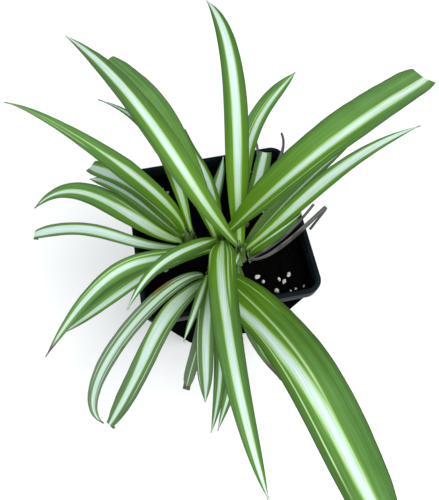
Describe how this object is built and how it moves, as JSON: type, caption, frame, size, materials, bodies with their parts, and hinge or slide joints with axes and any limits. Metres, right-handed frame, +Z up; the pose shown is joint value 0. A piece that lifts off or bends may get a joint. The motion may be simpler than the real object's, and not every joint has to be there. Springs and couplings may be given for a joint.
{
  "type": "potted spider plant",
  "caption": "Variegated spider plant with arching white-striped strap leaves springing from short crowns in a square black plastic nursery pot.",
  "frame": {"origin": "centre of the flat underside of the square pot", "axes": "+Z up from the pot's underside to the leaves; X and Y lie along the pot's sides, with -Y towards the leaf that arches over the front corner and +X towards the two long leaves that leave side by side"},
  "size_m": [0.236, 0.2937, 0.1938],
  "materials": {
    "pot_plastic": "glossy black, moulded",
    "soil_mix": "moist dark peat with white perlite grains",
    "crown_flesh": "pale green, satin",
    "leaf_blade": "satin green with a white centre stripe",
    "withered_leaf": "dry, dull grey-brown"
  },
  "bodies": {
    "root": {"pot": "pot_plastic", "soil": "soil_mix", "crown_centre": "crown_flesh", "crown_right": "crown_flesh", "crown_left": "crown_flesh", "crown_front": "crown_flesh", "crown_back": "crown_flesh", "leaf_top": "leaf_blade", "leaf_top_right": "leaf_blade", "leaf_back_left": "leaf_blade", "leaf_back_right": "leaf_blade", "leaf_upper_right": "leaf_blade", "leaf_right": "leaf_blade", "leaf_right_shaded": "leaf_blade", "leaf_right_low": "leaf_blade", "leaf_lower_right": "leaf_blade", "leaf_young": "leaf_blade", "leaf_right_under": "leaf_blade", "leaf_front": "leaf_blade", "leaf_short_left": "leaf_blade", "leaf_lower_left_upper": "leaf_blade", "leaf_lower_left_under": "leaf_blade", "leaf_left_low": "leaf_blade", "leaf_left_broad": "leaf_blade", "leaf_left_middle": "leaf_blade", "leaf_left_upper": "leaf_blade", "leaf_long_left": "leaf_blade", "leaf_left_tall": "leaf_blade", "leaf_upper_left": "leaf_blade", "leaf_upper_left_under": "leaf_blade", "leaf_upper_left_inner": "leaf_blade", "leaf_loop_left": "leaf_blade", "leaf_loop_right": "leaf_blade", "leaf_front_thin": "leaf_blade", "leaf_front_low_left": "leaf_blade", "leaf_front_low_middle": "leaf_blade", "leaf_front_low_right": "leaf_blade", "leaf_front_low_far": "leaf_blade", "withered_leaf_right": "withered_leaf", "withered_leaf_fold": "withered_leaf", "withered_leaf_back": "withered_leaf", "withered_leaf_curl": "withered_leaf"}
  },
  "joints": []
}
